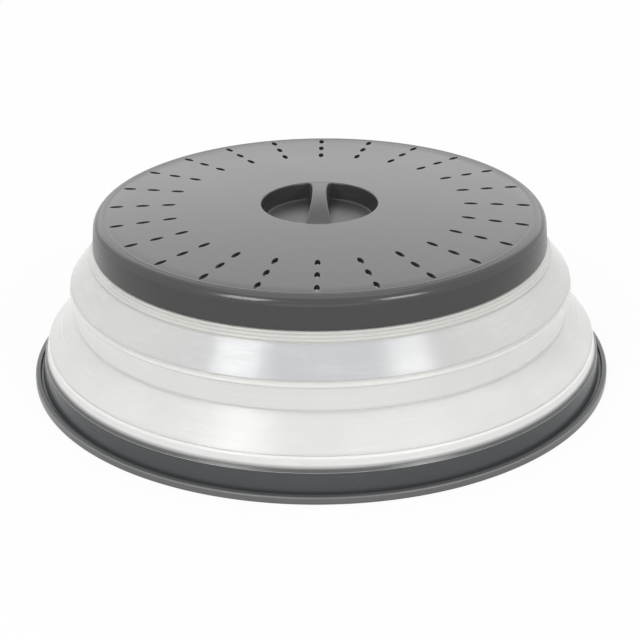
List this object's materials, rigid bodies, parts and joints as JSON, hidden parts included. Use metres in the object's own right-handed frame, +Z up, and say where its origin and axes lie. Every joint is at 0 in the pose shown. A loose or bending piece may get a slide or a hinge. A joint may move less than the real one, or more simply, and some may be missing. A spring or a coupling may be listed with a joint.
{
  "type": "collapsible food cover",
  "caption": "Round collapsible food cover: a slotted top plate with a sunken finger grip, a soft two-step bellows that folds down, and a stiff base ring with a lip.",
  "frame": {"origin": "on the floor, under the centre of the cover", "axes": "+Z up through the centre of the top plate; the grip runs along Y, and -Y is the front"},
  "size_m": [0.267, 0.267, 0.0826],
  "materials": {
    "plate_plastic": "satin moulded polypropylene",
    "ring_plastic": "satin moulded polypropylene",
    "soft_bellows": "glossy milky translucent soft rubber"
  },
  "bodies": {
    "base": {"base_ring": "ring_plastic", "lower_collar": "soft_bellows", "lower_cone": "soft_bellows"},
    "mid_tier": {"mid_band": "soft_bellows", "upper_cone": "soft_bellows"},
    "lid": {"upper_collar": "soft_bellows", "top_plate": "plate_plastic"}
  },
  "joints": [
    {"name": "lower_fold", "type": "slide", "parent": "base", "child": "mid_tier", "axis": [0, 0, -1], "range_m": [0, 0.0248], "deforming": ["lower_cone"]},
    {"name": "upper_fold", "type": "slide", "parent": "mid_tier", "child": "lid", "axis": [0, 0, -1], "range_m": [0, 0.0236], "deforming": ["upper_cone"]}
  ]
}
